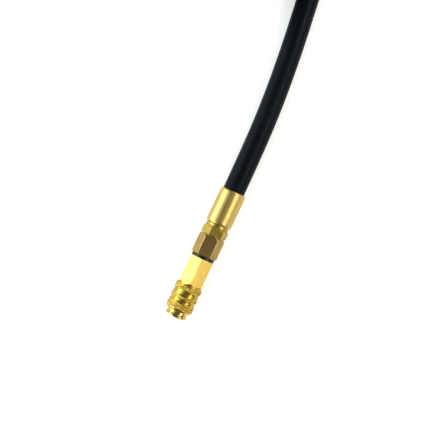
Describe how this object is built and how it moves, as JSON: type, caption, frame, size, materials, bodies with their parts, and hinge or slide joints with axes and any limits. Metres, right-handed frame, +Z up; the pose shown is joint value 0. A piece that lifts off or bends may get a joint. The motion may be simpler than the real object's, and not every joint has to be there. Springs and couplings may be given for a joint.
{
  "type": "hose assembly with quick coupler",
  "caption": "Black rubber gas hose, put away as a tied coil, with a brass quick coupler socket on a swivel nut at one end and an open swivel nut at the other.",
  "frame": {"origin": "centre of the coupler's mouth, on the coupler's axis", "axes": "-Y points out of the mouth, the way a plug leaves; +Y runs back along the fitting to the hose; +Z is up from the surface that the hose lies on"},
  "size_m": [0.1669, 0.3377, 0.0585],
  "materials": {
    "ferrule_brass": "polished",
    "stem_brass": "turned, polished",
    "nut_brass": "satin",
    "body_brass": "satin",
    "front_brass": "polished",
    "sleeve_brass": "turned and knurled",
    "spring_steel": "drawn wire",
    "ball_steel": "polished",
    "seal_rubber": "glossy",
    "hose_rubber": "matt, finely wrapped",
    "strap_fabric": "hook-and-loop webbing"
  },
  "bodies": {
    "hose_side": {"crimp_ferrule": "ferrule_brass", "hose_stem": "stem_brass", "stem_o_ring": "seal_rubber", "hose": "hose_rubber", "hose_coil": "hose_rubber", "hose_tail": "hose_rubber", "coil_ties": "strap_fabric", "far_ferrule": "ferrule_brass", "far_stem": "stem_brass", "far_o_ring": "seal_rubber"},
    "coupling": {"swivel_nut": "nut_brass", "nut_wire": "spring_steel", "seal_ring": "seal_rubber", "coupler_body": "body_brass", "front_body": "front_brass", "body_o_ring": "seal_rubber", "snap_ring": "spring_steel", "plug_seal": "seal_rubber", "valve_spring": "spring_steel"},
    "sleeve_carrier": {"sleeve_spring": "spring_steel"},
    "sleeve": {"sleeve": "sleeve_brass"},
    "valve": {"valve_poppet": "stem_brass", "poppet_o_ring": "seal_rubber"},
    "far_nut": {"far_nut": "nut_brass", "far_nut_wire": "spring_steel"},
    "locking_ball_1": {"locking_ball_1": "ball_steel"},
    "locking_ball_2": {"locking_ball_2": "ball_steel"},
    "locking_ball_3": {"locking_ball_3": "ball_steel"},
    "locking_ball_4": {"locking_ball_4": "ball_steel"},
    "locking_ball_5": {"locking_ball_5": "ball_steel"},
    "locking_ball_6": {"locking_ball_6": "ball_steel"}
  },
  "joints": [
    {"name": "swivel", "type": "hinge", "parent": "hose_side", "child": "coupling", "pos_m": [0, 0.05, 0], "axis": [0, 1, 0], "continuous": true},
    {"name": "sleeve_pull", "type": "slide", "parent": "coupling", "child": "sleeve_carrier", "axis": [0, 1, 0], "range_m": [0, 0.0013], "stiffness_N_per_m": 1500, "springref_m": -0.001, "deforming": ["sleeve_spring"]},
    {"name": "sleeve_turn", "type": "hinge", "parent": "sleeve_carrier", "child": "sleeve", "pos_m": [0, 0.012, 0], "axis": [0, 1, 0], "continuous": true},
    {"name": "valve_push", "type": "slide", "parent": "coupling", "child": "valve", "axis": [0, 1, 0], "range_m": [0, 0.0035], "stiffness_N_per_m": 300, "springref_m": -0.0015, "deforming": ["valve_spring"]},
    {"name": "far_swivel", "type": "hinge", "parent": "hose_side", "child": "far_nut", "pos_m": [-0.08126, 0.19434, 0.04203], "axis": [-0.877, 0.4805, 0], "continuous": true},
    {"name": "ball_1_out", "type": "slide", "parent": "coupling", "child": "locking_ball_1", "axis": [0.866, 0, 0.5], "range_m": [0, 0.00076]},
    {"name": "ball_2_out", "type": "slide", "parent": "coupling", "child": "locking_ball_2", "axis": [0, 0, 1], "range_m": [0, 0.00076]},
    {"name": "ball_3_out", "type": "slide", "parent": "coupling", "child": "locking_ball_3", "axis": [-0.866, 0, 0.5], "range_m": [0, 0.00076]},
    {"name": "ball_4_out", "type": "slide", "parent": "coupling", "child": "locking_ball_4", "axis": [-0.866, 0, -0.5], "range_m": [0, 0.00076]},
    {"name": "ball_5_out", "type": "slide", "parent": "coupling", "child": "locking_ball_5", "axis": [0, 0, -1], "range_m": [0, 0.00076]},
    {"name": "ball_6_out", "type": "slide", "parent": "coupling", "child": "locking_ball_6", "axis": [0.866, 0, -0.5], "range_m": [0, 0.00076]}
  ],
  "couplings": [
    {"joint": "ball_1_out", "follows": "sleeve_pull", "ratio": 0.57735},
    {"joint": "ball_2_out", "follows": "sleeve_pull", "ratio": 0.57735},
    {"joint": "ball_3_out", "follows": "sleeve_pull", "ratio": 0.57735},
    {"joint": "ball_4_out", "follows": "sleeve_pull", "ratio": 0.57735},
    {"joint": "ball_5_out", "follows": "sleeve_pull", "ratio": 0.57735},
    {"joint": "ball_6_out", "follows": "sleeve_pull", "ratio": 0.57735}
  ]
}
